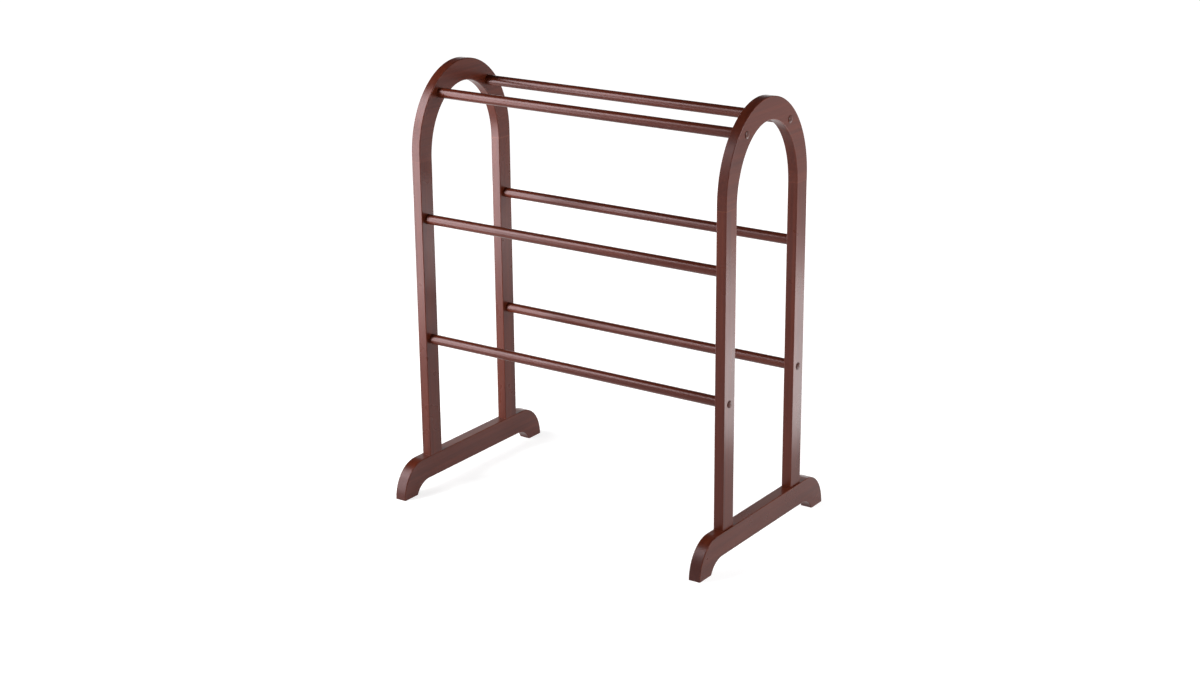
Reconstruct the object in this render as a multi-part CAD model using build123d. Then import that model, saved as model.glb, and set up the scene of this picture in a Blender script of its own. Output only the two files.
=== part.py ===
"""Quilt and towel drying rack in dark stained wood: two arched end frames, six round rungs.

Millimetres, +Z up, +X along the rungs, +Y to the rear.  The origin lies on the floor, at the middle of
the four foot pads.
"""
import math
import os

from build123d import *

os.makedirs("parts", exist_ok=True)

# ---- overall size -------------------------------------------------------------------------------------
FRAME_SPAN = 713.0          # between the outer faces of the two end frames
BOARD = 20.5                # thickness of the frame boards
HEIGHT = 860.0              # floor to the top of the arch
FOOT_LENGTH = 460.0         # toe to toe

# ---- arched end frame ---------------------------------------------------------------------------------
LEG_OUTER = 145.0           # half the width over the two uprights
LEG_INNER = 108.0           # half the gap between them
SEAM_Z = 679.0              # height of the joint between upright and crown
OUTER_SPRING_Z = 690.0      # where the outer arch starts to curve
INNER_SPRING_Z = 679.0      # where the inner arch starts to curve
INNER_RISE = 137.5          # inner arch, spring line to apex
EDGE_ROUND = 1.5            # eased long edges

# ---- trestle foot -------------------------------------------------------------------------------------
FOOT_OUTER_LEDGE = 3.5      # foot stands proud of the frame on the outside
FOOT_INNER_LEDGE = 0.5      # and by a hair on the inside
FOOT_TOP = 70.0
FOOT_ARCH = 24.0            # clearance under the middle of the foot
TOE_LENGTH = 62.0           # run of the rounded toe
HEEL_Y = 189.0              # inner end of each pad
HEEL_FLAT_Y = 151.0         # where the underside turns level

# ---- rungs --------------------------------------------------------------------------------------------
RUNG_D = 20.0
TOP_RUNG = (77.0, 805.0)    # distance from the centre line, height
MID_RUNG = (126.5, 562.5)
LOW_RUNG = (126.5, 315.0)
SOCKET_DEPTH = 8.0
FIT = 0.08                  # radial clearance of rung in socket
FREE_END_PLAY = 0.5         # end play of each free turning rung, per side

# ---- rung fixings, M6 ---------------------------------------------------------------------------------
BOLT_D = 6.0
BOLT_HOLE_D = 6.6
BOLT_HEAD_D = 10.0
BOLT_HEAD_H = 3.5
HEX_KEY = 4.0
HEX_DEPTH = 2.2
COUNTERBORE_D = 10.6
COUNTERBORE_DEPTH = 5.0
INSERT_D = 9.0
INSERT_LENGTH = 15.0
PILOT_CLEAR = 0.05          # radial clearance around inserts, dowels and threads
RUNG_BOLT_REACH = 14.0      # bolt beyond the socket floor
RUNG_PILOT_DEPTH = 18.0
CAP_D = 14.0
CAP_RISE = 2.4
CAP_RIM = 0.8
CAP_STEM_D = 10.4
CAP_STEM_LENGTH = 1.2

# ---- foot and crown fixings ---------------------------------------------------------------------------
FOOT_BORE_D = 12.0
FOOT_BORE_DEPTH = 14.0
FOOT_BOLT_REACH = 20.0      # bolt beyond the foot, into the upright
FOOT_INSERT_LENGTH = 18.0
FOOT_PILOT_DEPTH = 26.0
FOOT_DOWEL_D = 6.0
FOOT_DOWEL_LENGTH = 30.0
FOOT_DOWEL_OFFSET = 10.5
CROWN_DOWEL_D = 8.0
CROWN_DOWEL_LENGTH = 40.0
CROWN_DOWEL_OFFSET = 7.5
DOWEL_END_GAP = 1.0         # glue space beyond each end of a dowel

# ---- derived ------------------------------------------------------------------------------------------
OUTER_X = FRAME_SPAN / 2
INNER_X = OUTER_X - BOARD
LEG_Y = (LEG_OUTER + LEG_INNER) / 2
LEG_WIDTH = LEG_OUTER - LEG_INNER
OUTER_RISE = HEIGHT - OUTER_SPRING_Z
TOE_Y = FOOT_LENGTH / 2
TOE_START_Y = TOE_Y - TOE_LENGTH
FOOT_OUTER_X = OUTER_X + FOOT_OUTER_LEDGE
FOOT_INNER_X = INNER_X - FOOT_INNER_LEDGE
HEEL_RUN = HEEL_Y - HEEL_FLAT_Y
HEEL_RADIUS = (HEEL_RUN ** 2 + FOOT_ARCH ** 2) / (2 * FOOT_ARCH)
SOCKET_FLOOR_X = INNER_X + SOCKET_DEPTH
COUNTERBORE_X = OUTER_X - COUNTERBORE_DEPTH
FOOT_SEAT_Z = FOOT_ARCH + FOOT_BORE_DEPTH
SIDES = {"left": -1, "right": 1}
ENDS = {"front": -1, "rear": 1}
BOLTED = (TOP_RUNG, LOW_RUNG)


def rod_x(diameter, x0, x1, y, z):
    """Round bar along X between x0 and x1."""
    length = abs(x1 - x0)
    return Pos((x0 + x1) / 2, y, z) * Rot(0, 90, 0) * Cylinder(diameter / 2, length)


def rod_z(diameter, z0, z1, x, y):
    """Round bar along Z between z0 and z1."""
    return Pos(x, y, (z0 + z1) / 2) * Cylinder(diameter / 2, z1 - z0)


def board(face, x0, x1):
    """Extrude a profile drawn in the YZ plane so that it fills x0 to x1."""
    solid = extrude(face, amount=x1 - x0)
    return Pos(x0, 0, 0) * solid


def ease(solid, radius, keep=()):
    """Round the edges of a board, leaving those that lie in the given level planes sharp."""
    edges = [e for e in solid.edges() if not any(in_plane(e, z) for z in keep)]
    return fillet(edges, radius)


def in_plane(edge, z):
    """True for an edge that lies level at height z."""
    box = edge.bounding_box()
    return abs(box.min.Z - z) < 1e-3 and abs(box.max.Z - z) < 1e-3


def mirror_x(side, solids):
    """Parts are drawn for the right hand frame; the left one is its mirror image."""
    if side > 0:
        return solids
    return [mirror(s, about=Plane.YZ) for s in solids]


# ---- profiles, drawn in the YZ plane ------------------------------------------------------------------
def crown_face():
    """Arched band above the seam, between an outer and an inner half ellipse."""
    with BuildSketch(Plane.YZ) as sketch:
        with BuildLine():
            Line((LEG_OUTER, SEAM_Z), (LEG_OUTER, OUTER_SPRING_Z))
            EllipticalCenterArc((0, OUTER_SPRING_Z), LEG_OUTER, OUTER_RISE, 0, arc_size=180)
            Line((-LEG_OUTER, OUTER_SPRING_Z), (-LEG_OUTER, SEAM_Z))
            Line((-LEG_OUTER, SEAM_Z), (-LEG_INNER, SEAM_Z))
            EllipticalCenterArc((0, INNER_SPRING_Z), LEG_INNER, INNER_RISE, 0, arc_size=180)
            Line((LEG_INNER, SEAM_Z), (LEG_OUTER, SEAM_Z))
        make_face()
    return sketch.sketch


def foot_face():
    """Long bar with rounded toes, hollowed underneath so that it stands on a pad at each end."""
    with BuildSketch(Plane.YZ) as sketch:
        with BuildLine():
            EllipticalCenterArc((TOE_START_Y, 0), TOE_LENGTH, FOOT_TOP, 0, arc_size=90)
            Line((TOE_START_Y, FOOT_TOP), (-TOE_START_Y, FOOT_TOP))
            EllipticalCenterArc((-TOE_START_Y, 0), TOE_LENGTH, FOOT_TOP, 90, arc_size=90)
            Line((-TOE_Y, 0), (-HEEL_Y, 0))
            RadiusArc((-HEEL_Y, 0), (-HEEL_FLAT_Y, FOOT_ARCH), HEEL_RADIUS)
            Line((-HEEL_FLAT_Y, FOOT_ARCH), (HEEL_FLAT_Y, FOOT_ARCH))
            RadiusArc((HEEL_FLAT_Y, FOOT_ARCH), (HEEL_Y, 0), HEEL_RADIUS)
            Line((HEEL_Y, 0), (TOE_Y, 0))
        make_face()
    return sketch.sketch


# ---- right hand frame ---------------------------------------------------------------------------------
def rung_seat(y, z):
    """Socket, bolt hole and counterbore for one bolted rung end."""
    socket = rod_x(RUNG_D + 2 * FIT, INNER_X - 1, SOCKET_FLOOR_X, y, z)
    hole = rod_x(BOLT_HOLE_D, SOCKET_FLOOR_X - 1, OUTER_X, y, z)
    counterbore = rod_x(COUNTERBORE_D, COUNTERBORE_X, OUTER_X + 1, y, z)
    return socket + hole + counterbore


def crown_dowel_rods(sign, clearance, gap):
    """Two dowels across one seam between crown and upright."""
    half = CROWN_DOWEL_LENGTH / 2 + gap
    middle_x = (OUTER_X + INNER_X) / 2
    rods = []
    for offset in (-CROWN_DOWEL_OFFSET, CROWN_DOWEL_OFFSET):
        y = sign * LEG_Y + offset
        rods.append(rod_z(CROWN_DOWEL_D + 2 * clearance, SEAM_Z - half, SEAM_Z + half, middle_x, y))
    return rods


def foot_dowel_rods(sign, clearance, gap):
    """Two dowels across one joint between foot and upright, beside the bolt."""
    half = FOOT_DOWEL_LENGTH / 2 + gap
    middle_x = (OUTER_X + INNER_X) / 2
    rods = []
    for offset in (-FOOT_DOWEL_OFFSET, FOOT_DOWEL_OFFSET):
        y = sign * LEG_Y + offset
        rods.append(rod_z(FOOT_DOWEL_D + 2 * clearance, FOOT_TOP - half, FOOT_TOP + half, middle_x, y))
    return rods


def crown():
    body = ease(board(crown_face(), INNER_X, OUTER_X), EDGE_ROUND, keep=(SEAM_Z,))
    for sign in ENDS.values():
        body -= rung_seat(sign * TOP_RUNG[0], TOP_RUNG[1])
        for dowel in crown_dowel_rods(sign, PILOT_CLEAR, DOWEL_END_GAP):
            body -= dowel
    return body


def upright(sign):
    y = sign * LEG_Y
    middle_x = (OUTER_X + INNER_X) / 2
    length = SEAM_Z - FOOT_TOP
    blank = Pos(middle_x, y, (SEAM_Z + FOOT_TOP) / 2) * Box(BOARD, LEG_WIDTH, length)
    body = fillet(blank.edges().filter_by(Axis.Z), EDGE_ROUND)
    body -= rung_seat(y, LOW_RUNG[1])
    body -= rod_x(RUNG_D + 2 * FIT, INNER_X - 1, SOCKET_FLOOR_X, sign * MID_RUNG[0], MID_RUNG[1])
    body -= rod_z(INSERT_D + 2 * PILOT_CLEAR, FOOT_TOP - 1, FOOT_TOP + FOOT_INSERT_LENGTH, middle_x, y)
    body -= rod_z(BOLT_HOLE_D, FOOT_TOP, FOOT_TOP + FOOT_PILOT_DEPTH, middle_x, y)
    for dowel in crown_dowel_rods(sign, PILOT_CLEAR, DOWEL_END_GAP):
        body -= dowel
    for dowel in foot_dowel_rods(sign, PILOT_CLEAR, DOWEL_END_GAP):
        body -= dowel
    return body


def foot():
    blank = board(foot_face(), FOOT_INNER_X, FOOT_OUTER_X)
    body = ease(blank, EDGE_ROUND, keep=(0.0,))
    middle_x = (OUTER_X + INNER_X) / 2
    for sign in ENDS.values():
        y = sign * LEG_Y
        body -= rod_z(FOOT_BORE_D, FOOT_ARCH - 1, FOOT_SEAT_Z, middle_x, y)
        body -= rod_z(BOLT_HOLE_D, FOOT_SEAT_Z - 1, FOOT_TOP + 1, middle_x, y)
        for dowel in foot_dowel_rods(sign, PILOT_CLEAR, DOWEL_END_GAP):
            body -= dowel
    return body


# ---- fixings ------------------------------------------------------------------------------------------
def hex_socket(height):
    return extrude(RegularPolygon(HEX_KEY / 2, 6, major_radius=False), amount=height)


def bolt(reach):
    """Flat headed socket bolt along +Z: head underside at zero, shank above."""
    head = Pos(0, 0, -BOLT_HEAD_H / 2) * Cylinder(BOLT_HEAD_D / 2, BOLT_HEAD_H)
    head = fillet(head.edges().sort_by(Axis.Z)[0], 0.8)
    shank = Pos(0, 0, reach / 2) * Cylinder(BOLT_D / 2, reach)
    shank = chamfer(shank.edges().sort_by(Axis.Z)[-1], 0.8)
    return head + shank - Pos(0, 0, -BOLT_HEAD_H) * hex_socket(HEX_DEPTH)


def insert(length):
    """Threaded brass sleeve along +Z from zero."""
    sleeve = Pos(0, 0, length / 2) * Cylinder(INSERT_D / 2, length)
    bore = Pos(0, 0, length / 2) * Cylinder(BOLT_D / 2 + PILOT_CLEAR, length + 2)
    return sleeve - bore


def cap():
    """Domed cover button along +Z: flange on the board at zero, stem below."""
    dome_radius = ((CAP_D / 2) ** 2 + (CAP_RISE - CAP_RIM) ** 2) / (2 * (CAP_RISE - CAP_RIM))
    rim = Pos(0, 0, CAP_RIM / 2) * Cylinder(CAP_D / 2, CAP_RIM)
    ball = Pos(0, 0, CAP_RISE - dome_radius) * Sphere(dome_radius)
    above = Pos(0, 0, CAP_RIM + CAP_RISE / 2) * Cylinder(CAP_D / 2, CAP_RISE)
    stem = Pos(0, 0, -CAP_STEM_LENGTH / 2) * Cylinder(CAP_STEM_D / 2, CAP_STEM_LENGTH)
    return rim + (ball & above) + stem


def rung_fixings():
    """Bolts, inserts and caps of the right hand frame, one of each per bolted rung end."""
    bolts = []
    inserts = []
    caps = []
    inward = Rot(0, -90, 0)
    outward = Rot(0, 90, 0)
    for distance, z in BOLTED:
        for sign in ENDS.values():
            y = sign * distance
            reach = COUNTERBORE_X - SOCKET_FLOOR_X + RUNG_BOLT_REACH
            bolts.append(Pos(COUNTERBORE_X, y, z) * inward * bolt(reach))
            inserts.append(Pos(SOCKET_FLOOR_X, y, z) * inward * insert(INSERT_LENGTH))
            caps.append(Pos(OUTER_X, y, z) * outward * cap())
    return bolts, inserts, caps


def foot_fixings():
    """Bolts from under the foot and the inserts they pull on, two of each per frame."""
    bolts = []
    inserts = []
    middle_x = (OUTER_X + INNER_X) / 2
    reach = FOOT_TOP - FOOT_SEAT_Z + FOOT_BOLT_REACH
    for sign in ENDS.values():
        bolts.append(Pos(middle_x, sign * LEG_Y, FOOT_SEAT_Z) * bolt(reach))
        inserts.append(Pos(middle_x, sign * LEG_Y, FOOT_TOP) * insert(FOOT_INSERT_LENGTH))
    return bolts, inserts


# ---- rungs --------------------------------------------------------------------------------------------
def bolted_rung(y, z):
    """Rung clamped between the socket floors, with an insert hole and pilot in each end."""
    body = rod_x(RUNG_D, -SOCKET_FLOOR_X, SOCKET_FLOOR_X, y, z)
    for side in SIDES.values():
        end = side * SOCKET_FLOOR_X
        body -= rod_x(INSERT_D + 2 * PILOT_CLEAR, end - side * INSERT_LENGTH, end + side, y, z)
        body -= rod_x(BOLT_HOLE_D, end - side * RUNG_PILOT_DEPTH, end, y, z)
    return body


def free_rung(y, z):
    """Rung held only by its two blind sockets."""
    half = SOCKET_FLOOR_X - FREE_END_PLAY
    body = rod_x(RUNG_D, -half, half, y, z)
    return chamfer(body.edges().filter_by(GeomType.CIRCLE), 0.6)


def write(name, solids):
    """Export one node; a group of like fixings keeps its separate solids."""
    shape = solids[0] if len(solids) == 1 else Compound(children=list(solids))
    shape.label = name
    export_step(shape, f"parts/{name}.step")


def write_frame(name, side):
    bolts, inserts, caps = rung_fixings()
    foot_bolts, foot_inserts = foot_fixings()
    crown_dowels = []
    foot_dowels = []
    for sign in ENDS.values():
        crown_dowels += crown_dowel_rods(sign, 0, 0)
        foot_dowels += foot_dowel_rods(sign, 0, 0)
    nodes = {
        "crown": [crown()],
        "front_upright": [upright(ENDS["front"])],
        "rear_upright": [upright(ENDS["rear"])],
        "foot": [foot()],
        "crown_dowels": crown_dowels,
        "foot_dowels": foot_dowels,
        "foot_bolts": foot_bolts,
        "foot_inserts": foot_inserts,
        "rung_bolts": bolts,
        "rung_inserts": inserts,
        "caps": caps,
    }
    for part, solids in nodes.items():
        write(f"{name}_{part}", mirror_x(side, solids))


def write_rungs():
    for end, sign in ENDS.items():
        write(f"top_{end}_rung", [bolted_rung(sign * TOP_RUNG[0], TOP_RUNG[1])])
        write(f"mid_{end}_rung", [free_rung(sign * MID_RUNG[0], MID_RUNG[1])])
        write(f"low_{end}_rung", [bolted_rung(sign * LOW_RUNG[0], LOW_RUNG[1])])


for frame_name, frame_side in SIDES.items():
    write_frame(frame_name, frame_side)
write_rungs()
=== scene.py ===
"""Studio scene for the quilt and towel rack: stained, lacquered wood on a plain pale floor."""
import math

import bpy
from mathutils import Matrix, Vector

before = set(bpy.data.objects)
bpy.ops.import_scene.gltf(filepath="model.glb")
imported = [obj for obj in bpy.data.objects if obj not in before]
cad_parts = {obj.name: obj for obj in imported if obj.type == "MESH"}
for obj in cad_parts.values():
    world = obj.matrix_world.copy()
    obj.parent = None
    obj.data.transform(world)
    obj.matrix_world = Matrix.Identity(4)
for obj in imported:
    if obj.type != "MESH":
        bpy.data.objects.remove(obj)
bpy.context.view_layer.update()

# ---- colours, linear ----------------------------------------------------------------------------------
STAIN_DARK = (0.036, 0.0056, 0.0020)
STAIN_MID = (0.057, 0.0095, 0.0034)
STAIN_LIGHT = (0.082, 0.0155, 0.0060)
EDGE_RUBBED = (0.150, 0.0400, 0.0180)
LACQUER_TINT = (1.0, 0.83, 0.88)
# the cap rim colour below is painted shade: the dark ring that the gap round each cap would cast
CAP_RIM_PAINTED_SHADE = (0.012, 0.0035, 0.0022)
ZINC = (0.58, 0.57, 0.55)
BRASS = (0.62, 0.43, 0.17)
BEECH = (0.50, 0.33, 0.19)
FLOOR_WHITE = (0.45, 0.45, 0.45)
FLOOR_GLOW_NEAR, FLOOR_GLOW_FAR = 0.74, 1.0
HORIZON = (1.0, 1.0, 1.0)
ZENITH = (0.07, 0.07, 0.075)

# ---- finish -------------------------------------------------------------------------------------------
BOARD_END_DARK, BOARD_END_DULL = 0.12, 0.02     # extra stain and roughness where a board is cut across
FOOT_END_STAIN_AND_SHADE, FOOT_END_DULL = 0.9, 0.12        # the same on the feet but far stronger: end grain stain plus painted shade on the fronts of the toes
WOOD_SPECULAR, CAP_SPECULAR = 0.24, 0.2
RUB_AND_RIM_SHADE_WIDTH = 0.0022       # metres in from an edge
RUB_AND_RIM_SHADE_FLAT, RUB_AND_RIM_SHADE_FULL = 0.995, 0.90          # agreement of rounded and true normal: none to full rub on the boards, none to full painted rim shade on the caps
ZINC_ROUGH, BRASS_ROUGH = 0.32, 0.30

# ---- floor and sky ------------------------------------------------------------------------------------
FLOOR_SIZE = 60.0
GLOW_NEAR_RADIUS, GLOW_FAR_RADIUS = 0.6, 3.5    # metres from the origin
SKY_FADE_LOW, SKY_FADE_HIGH = 7.0, 17.0         # degrees above the horizon

# ---- camera -------------------------------------------------------------------------------------------
CAMERA_AT = (2.172, -3.160, 1.613)
CAMERA_YAW, CAMERA_PITCH, CAMERA_ROLL = 34.70, -18.32, -0.5
CAMERA_LENS = 62.0

# ---- lights: name, position, target, width, height, power, spread in degrees --------------------------
LIGHTS = (
    ("low_left_box", (-1.25, -0.95, 0.52), (-0.75, 0.20, 0.52), 0.95, 1.0, 15.5, 110.0),
    ("high_left_box", (-1.38, -1.22, 1.72), (-0.2, 0.0, 0.6), 0.95, 1.15, 41.0, 150.0),
    ("right_fill", (2.3, 0.5, 1.25), (0.3, 0.0, 0.6), 1.2, 1.2, 52.0, 180.0),
    ("sheen_panel", (0.93, 0.96, 0.03), (0.93, 0.96, 1.0), 0.8, 1.2, 13.5, 180.0),
    ("back_strip", (-1.5, 2.2, 0.56), (0.0, 0.0, 0.56), 3.6, 1.05, 14.0, 180.0),
)


class Shader:
    """Small helper around one material's node tree."""

    def __init__(self, name):
        self.material = bpy.data.materials.new(name)
        self.material.use_nodes = True
        self.tree = self.material.node_tree
        self.bsdf = self.tree.nodes["Principled BSDF"]

    def node(self, kind, **settings):
        made = self.tree.nodes.new(kind)
        for key, value in settings.items():
            setattr(made, key, value)
        return made

    def link(self, source, target):
        self.tree.links.new(source, target)

    def feed(self, target, value):
        """Link a socket, or set a plain number or colour."""
        if isinstance(value, bpy.types.NodeSocket):
            self.link(value, target)
        else:
            target.default_value = value

    def position(self):
        return self.node("ShaderNodeTexCoord").outputs["Object"]

    def stretched(self, vector, scale):
        """Coordinates scaled per axis, in repeats per metre."""
        mapping = self.node("ShaderNodeMapping")
        self.link(vector, mapping.inputs["Vector"])
        mapping.inputs["Scale"].default_value = scale
        return mapping.outputs["Vector"]

    def noise(self, vector, scale=1.0, detail=2.0, roughness=0.5, distortion=0.0):
        made = self.node("ShaderNodeTexNoise")
        self.link(vector, made.inputs["Vector"])
        made.inputs["Scale"].default_value = scale
        made.inputs["Detail"].default_value = detail
        made.inputs["Roughness"].default_value = roughness
        made.inputs["Distortion"].default_value = distortion
        return made.outputs["Fac"]

    def math(self, operation, a, b=0.0, c=0.0):
        made = self.node("ShaderNodeMath", operation=operation)
        for socket, value in zip(made.inputs, (a, b, c)):
            self.feed(socket, value)
        return made.outputs["Value"]

    def ramp(self, factor, low, high, out_low=0.0, out_high=1.0):
        """Straight remap of factor from low..high to out_low..out_high, clamped."""
        made = self.node("ShaderNodeMapRange")
        for socket, value in zip(made.inputs, (factor, low, high, out_low, out_high)):
            self.feed(socket, value)
        return made.outputs["Result"]

    def mix(self, factor, a, b):
        made = self.node("ShaderNodeMix", data_type="RGBA")
        self.feed(made.inputs["Factor"], factor)
        colours = [s for s in made.inputs if s.type == "RGBA"]
        for socket, value in zip(colours, (a, b)):
            self.feed(socket, value if isinstance(value, bpy.types.NodeSocket) else (*value, 1.0))
        return next(s for s in made.outputs if s.type == "RGBA")

    def bump(self, height, distance, strength=1.0, normal=None):
        made = self.node("ShaderNodeBump")
        self.link(height, made.inputs["Height"])
        made.inputs["Distance"].default_value = distance
        made.inputs["Strength"].default_value = strength
        if normal is not None:
            self.link(normal, made.inputs["Normal"])
        return made.outputs["Normal"]

    def set(self, **values):
        """Feed the main shader's sockets by their names in lower case, such as base_color."""
        for key, value in values.items():
            socket = self.bsdf.inputs[key.replace("_", " ").title()]
            self.feed(socket, value)


def along(axis, length, across):
    """Per axis scale for marks that run along one axis: few repeats along it, many across."""
    return tuple(length if i == axis else across for i in range(3))


def stained_wood(name, axis, end_dark=BOARD_END_DARK, end_dull=BOARD_END_DULL):
    """Red-brown stain under a satin lacquer, over close grained wood running along one axis.

    Cut across, the grain drinks more stain: end_dark deepens its colour and end_dull its roughness; on
    the feet end_dark is strong enough to add painted shade to the toe fronts.
    """
    s = Shader(name)
    place = s.position()
    streaks = s.noise(s.stretched(place, along(axis, 3.5, 190.0)), detail=4.0, roughness=0.55)
    figure = s.noise(s.stretched(place, along(axis, 1.6, 30.0)), detail=2.0, distortion=0.4)
    mottle = s.noise(place, scale=7.0, detail=1.0)
    pores = s.noise(s.stretched(place, along(axis, 60.0, 1700.0)), detail=1.0)
    tone = s.math("MULTIPLY_ADD", streaks, 0.50, s.math("MULTIPLY", figure, 0.35))
    tone = s.math("MULTIPLY_ADD", mottle, 0.15, tone)
    light = s.ramp(tone, 0.30, 0.70)
    colour = s.mix(s.ramp(light, 0.0, 0.5), STAIN_DARK, STAIN_MID)
    colour = s.mix(s.ramp(light, 0.5, 1.0), colour, STAIN_LIGHT)
    pore = s.ramp(pores, 0.28, 0.36, 1.0, 0.0)
    colour = s.mix(s.math("MULTIPLY", pore, 0.35), colour, STAIN_DARK)
    end_grain = end_facing(s, axis)
    # end_dark darkens faces cut across the grain: stain, and on the feet also painted shade
    colour = s.mix(s.math("MULTIPLY", end_grain, end_dark), colour, STAIN_DARK)
    rubbed = s.math("MULTIPLY", rubbed_edge_and_rim_shade(s), s.ramp(mottle, 0.35, 0.65, 0.25, 0.75))
    colour = s.mix(rubbed, colour, EDGE_RUBBED)
    smudge = s.noise(place, scale=11.0, detail=3.0)
    rough = s.ramp(smudge, 0.3, 0.7, 0.26, 0.33)
    rough = s.math("MULTIPLY_ADD", end_grain, end_dull, rough)
    grain_bump = s.bump(streaks, 0.00006, 0.5)
    pore_bump = s.bump(s.math("SUBTRACT", 1.0, pore), 0.00002, 0.4, grain_bump)
    s.set(base_color=colour, roughness=rough, normal=pore_bump)
    s.bsdf.inputs["Specular IOR Level"].default_value = WOOD_SPECULAR
    s.bsdf.inputs["Specular Tint"].default_value = (*LACQUER_TINT, 1.0)
    return s.material


def rubbed_edge_and_rim_shade(s):
    """One on rounded edges, zero on flats: rubbed stain on the boards, a painted shade rim on the caps.
    """
    rounded = s.node("ShaderNodeBevel", samples=4)
    rounded.inputs["Radius"].default_value = RUB_AND_RIM_SHADE_WIDTH
    agree = s.node("ShaderNodeVectorMath", operation="DOT_PRODUCT")
    s.link(rounded.outputs["Normal"], agree.inputs[0])
    s.link(s.node("ShaderNodeNewGeometry").outputs["Normal"], agree.inputs[1])
    return s.ramp(agree.outputs["Value"], RUB_AND_RIM_SHADE_FLAT, RUB_AND_RIM_SHADE_FULL)


def end_facing(s, axis):
    """One where the surface cuts across the grain, zero where it runs along it."""
    normal = s.node("ShaderNodeTexCoord").outputs["Normal"]
    parts = s.node("ShaderNodeSeparateXYZ")
    s.link(normal, parts.inputs["Vector"])
    return s.ramp(s.math("ABSOLUTE", parts.outputs[axis]), 0.45, 0.85)


def cover_button():
    """Moulded brown cap, satin on its face, with painted shade darkening the ring round its rim."""
    s = Shader("brown_cap")
    place = s.position()
    fine = s.noise(place, scale=2600.0, detail=2.0)
    cloud = s.noise(place, scale=160.0, detail=2.0)
    face = s.mix(s.ramp(cloud, 0.3, 0.7), STAIN_DARK, STAIN_MID)
    # the rim mask darkens the cap's edge with painted shade
    s.set(
        base_color=s.mix(rubbed_edge_and_rim_shade(s), face, CAP_RIM_PAINTED_SHADE),
        roughness=s.ramp(fine, 0.3, 0.7, 0.30, 0.42),
        normal=s.bump(fine, 0.00001, 0.4),
    )
    s.bsdf.inputs["Specular IOR Level"].default_value = CAP_SPECULAR
    return s.material


def turned_metal(name, colour, rough):
    """Plated or plain turned metal with fine tool marks and slight tarnish."""
    s = Shader(name)
    place = s.position()
    marks = s.noise(s.stretched(place, (4000.0, 900.0, 900.0)), detail=2.0)
    tarnish = s.noise(place, scale=220.0, detail=3.0)
    dull = tuple(0.72 * c for c in colour)
    s.set(
        base_color=s.mix(s.ramp(tarnish, 0.45, 0.75, 0.0, 0.7), colour, dull),
        metallic=1.0,
        roughness=s.ramp(marks, 0.3, 0.7, rough - 0.06, rough + 0.10),
        normal=s.bump(marks, 0.00001, 0.5),
    )
    return s.material


def raw_beech():
    """Plain beech of the dowels, flecked along their length."""
    s = Shader("raw_beech")
    place = s.position()
    flecks = s.noise(s.stretched(place, (900.0, 900.0, 60.0)), detail=2.0)
    dark = tuple(0.7 * c for c in BEECH)
    s.set(
        base_color=s.mix(s.ramp(flecks, 0.35, 0.65), dark, BEECH),
        roughness=0.7,
        normal=s.bump(flecks, 0.00005, 0.5),
    )
    return s.material


def dress():
    """Finish every node by the ending of its name; wood takes the grain direction of its board."""
    grain = {axis: stained_wood(f"stained_wood_{'xyz'[axis]}", axis) for axis in range(3)}
    foot = stained_wood("stained_wood_foot", 1, FOOT_END_STAIN_AND_SHADE, FOOT_END_DULL)
    cap = cover_button()
    zinc = turned_metal("zinc_plate", ZINC, ZINC_ROUGH)
    brass = turned_metal("turned_brass", BRASS, BRASS_ROUGH)
    beech = raw_beech()
    endings = {
        "_rung": grain[0],
        "_crown": grain[1],
        "_foot": foot,
        "_upright": grain[2],
        "_caps": cap,
        "_bolts": zinc,
        "_inserts": brass,
        "_dowels": beech,
    }
    for name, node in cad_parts.items():
        material = next(m for ending, m in endings.items() if name.endswith(ending))
        for slot in node.material_slots:
            slot.material = material


def make_floor():
    """White paper that glows a little more far off, so that no edge shows against the sky."""
    bpy.ops.mesh.primitive_plane_add(size=FLOOR_SIZE, location=(0.0, 0.0, 0.0))
    floor = bpy.context.object
    floor.name = "floor"
    s = Shader("floor_paper")
    grain = s.noise(s.position(), scale=60.0, detail=3.0)
    s.set(base_color=(*FLOOR_WHITE, 1.0), roughness=0.9, normal=s.bump(grain, 0.0002, 0.1))
    s.bsdf.inputs["Specular IOR Level"].default_value = 0.0
    s.bsdf.inputs["Emission Color"].default_value = (1.0, 1.0, 1.0, 1.0)
    distance = s.node("ShaderNodeVectorMath", operation="LENGTH")
    s.link(s.position(), distance.inputs[0])
    reach = (GLOW_NEAR_RADIUS, GLOW_FAR_RADIUS)
    glow = s.ramp(distance.outputs["Value"], *reach, FLOOR_GLOW_NEAR, FLOOR_GLOW_FAR)
    s.feed(s.bsdf.inputs["Emission Strength"], glow)
    floor.data.materials.append(s.material)


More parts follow.
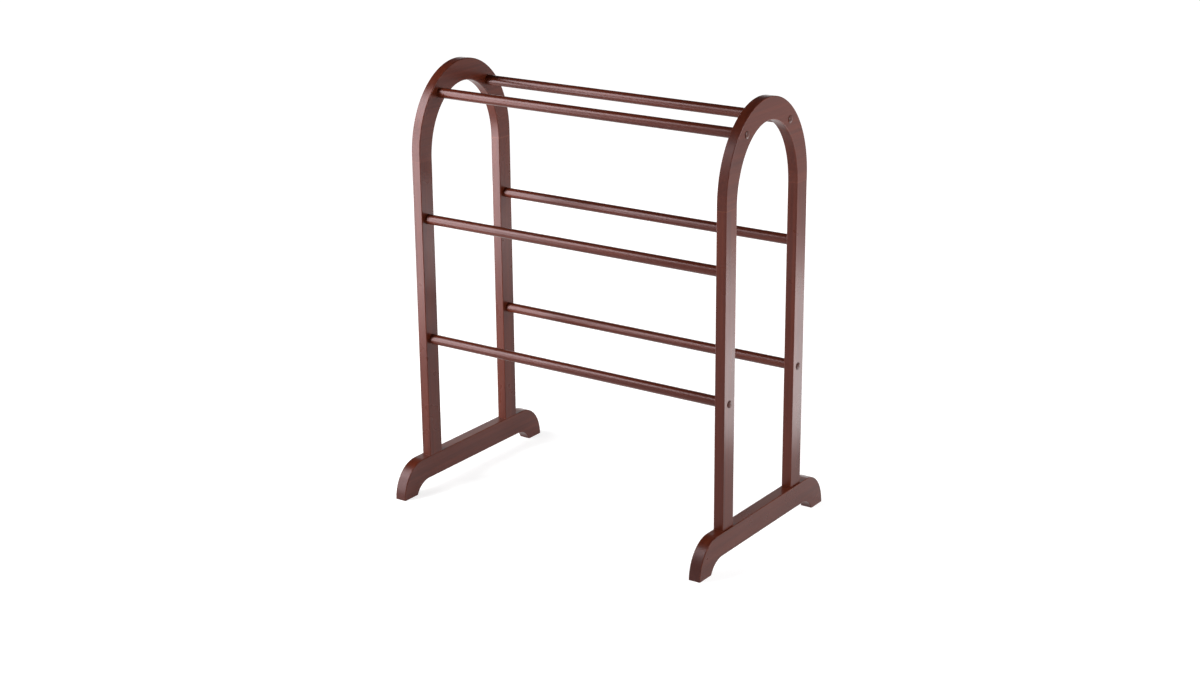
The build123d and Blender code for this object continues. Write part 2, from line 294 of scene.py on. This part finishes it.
def make_world():
    """Pale at the horizon and dim overhead, so that upward faces stay dark."""
    world = bpy.data.worlds.new("studio")
    world.use_nodes = True
    nodes, links = world.node_tree.nodes, world.node_tree.links
    place = nodes.new("ShaderNodeTexCoord")
    parts = nodes.new("ShaderNodeSeparateXYZ")
    links.new(place.outputs["Generated"], parts.inputs["Vector"])
    ramp = nodes.new("ShaderNodeMapRange")
    ramp.interpolation_type = "SMOOTHSTEP"
    links.new(parts.outputs["Z"], ramp.inputs["Value"])
    ramp.inputs["From Min"].default_value = math.sin(math.radians(SKY_FADE_LOW))
    ramp.inputs["From Max"].default_value = math.sin(math.radians(SKY_FADE_HIGH))
    blend = nodes.new("ShaderNodeMix")
    blend.data_type = "RGBA"
    links.new(ramp.outputs["Result"], blend.inputs["Factor"])
    colours = [socket for socket in blend.inputs if socket.type == "RGBA"]
    colours[0].default_value = (*HORIZON, 1.0)
    colours[1].default_value = (*ZENITH, 1.0)
    result = next(socket for socket in blend.outputs if socket.type == "RGBA")
    links.new(result, nodes["Background"].inputs["Color"])
    bpy.context.scene.world = world


def make_lights():
    for name, place, target, width, height, power, spread in LIGHTS:
        data = bpy.data.lights.new(name, "AREA")
        data.shape = "RECTANGLE"
        data.size, data.size_y = width, height
        data.energy = power
        data.spread = math.radians(spread)
        lamp = bpy.data.objects.new(name, data)
        bpy.context.collection.objects.link(lamp)
        lamp.location = place
        lamp.rotation_mode = "QUATERNION"
        lamp.rotation_quaternion = (Vector(target) - Vector(place)).to_track_quat("-Z", "Y")
        lamp.visible_camera = False


def make_camera():
    data = bpy.data.cameras.new("camera")
    data.sensor_width = 36.0
    data.lens = CAMERA_LENS
    data.clip_end = 100.0
    camera = bpy.data.objects.new("camera", data)
    bpy.context.collection.objects.link(camera)
    camera.location = CAMERA_AT
    turn = Matrix.Rotation(math.radians(CAMERA_YAW), 3, "Z")
    tilt = Matrix.Rotation(math.radians(90.0 + CAMERA_PITCH), 3, "X")
    roll = Matrix.Rotation(math.radians(CAMERA_ROLL), 3, "Z")
    camera.rotation_euler = (turn @ tilt @ roll).to_euler()
    bpy.context.scene.camera = camera


dress()
make_floor()
make_world()
make_lights()
make_camera()
bpy.context.scene.view_settings.view_transform = "Standard"
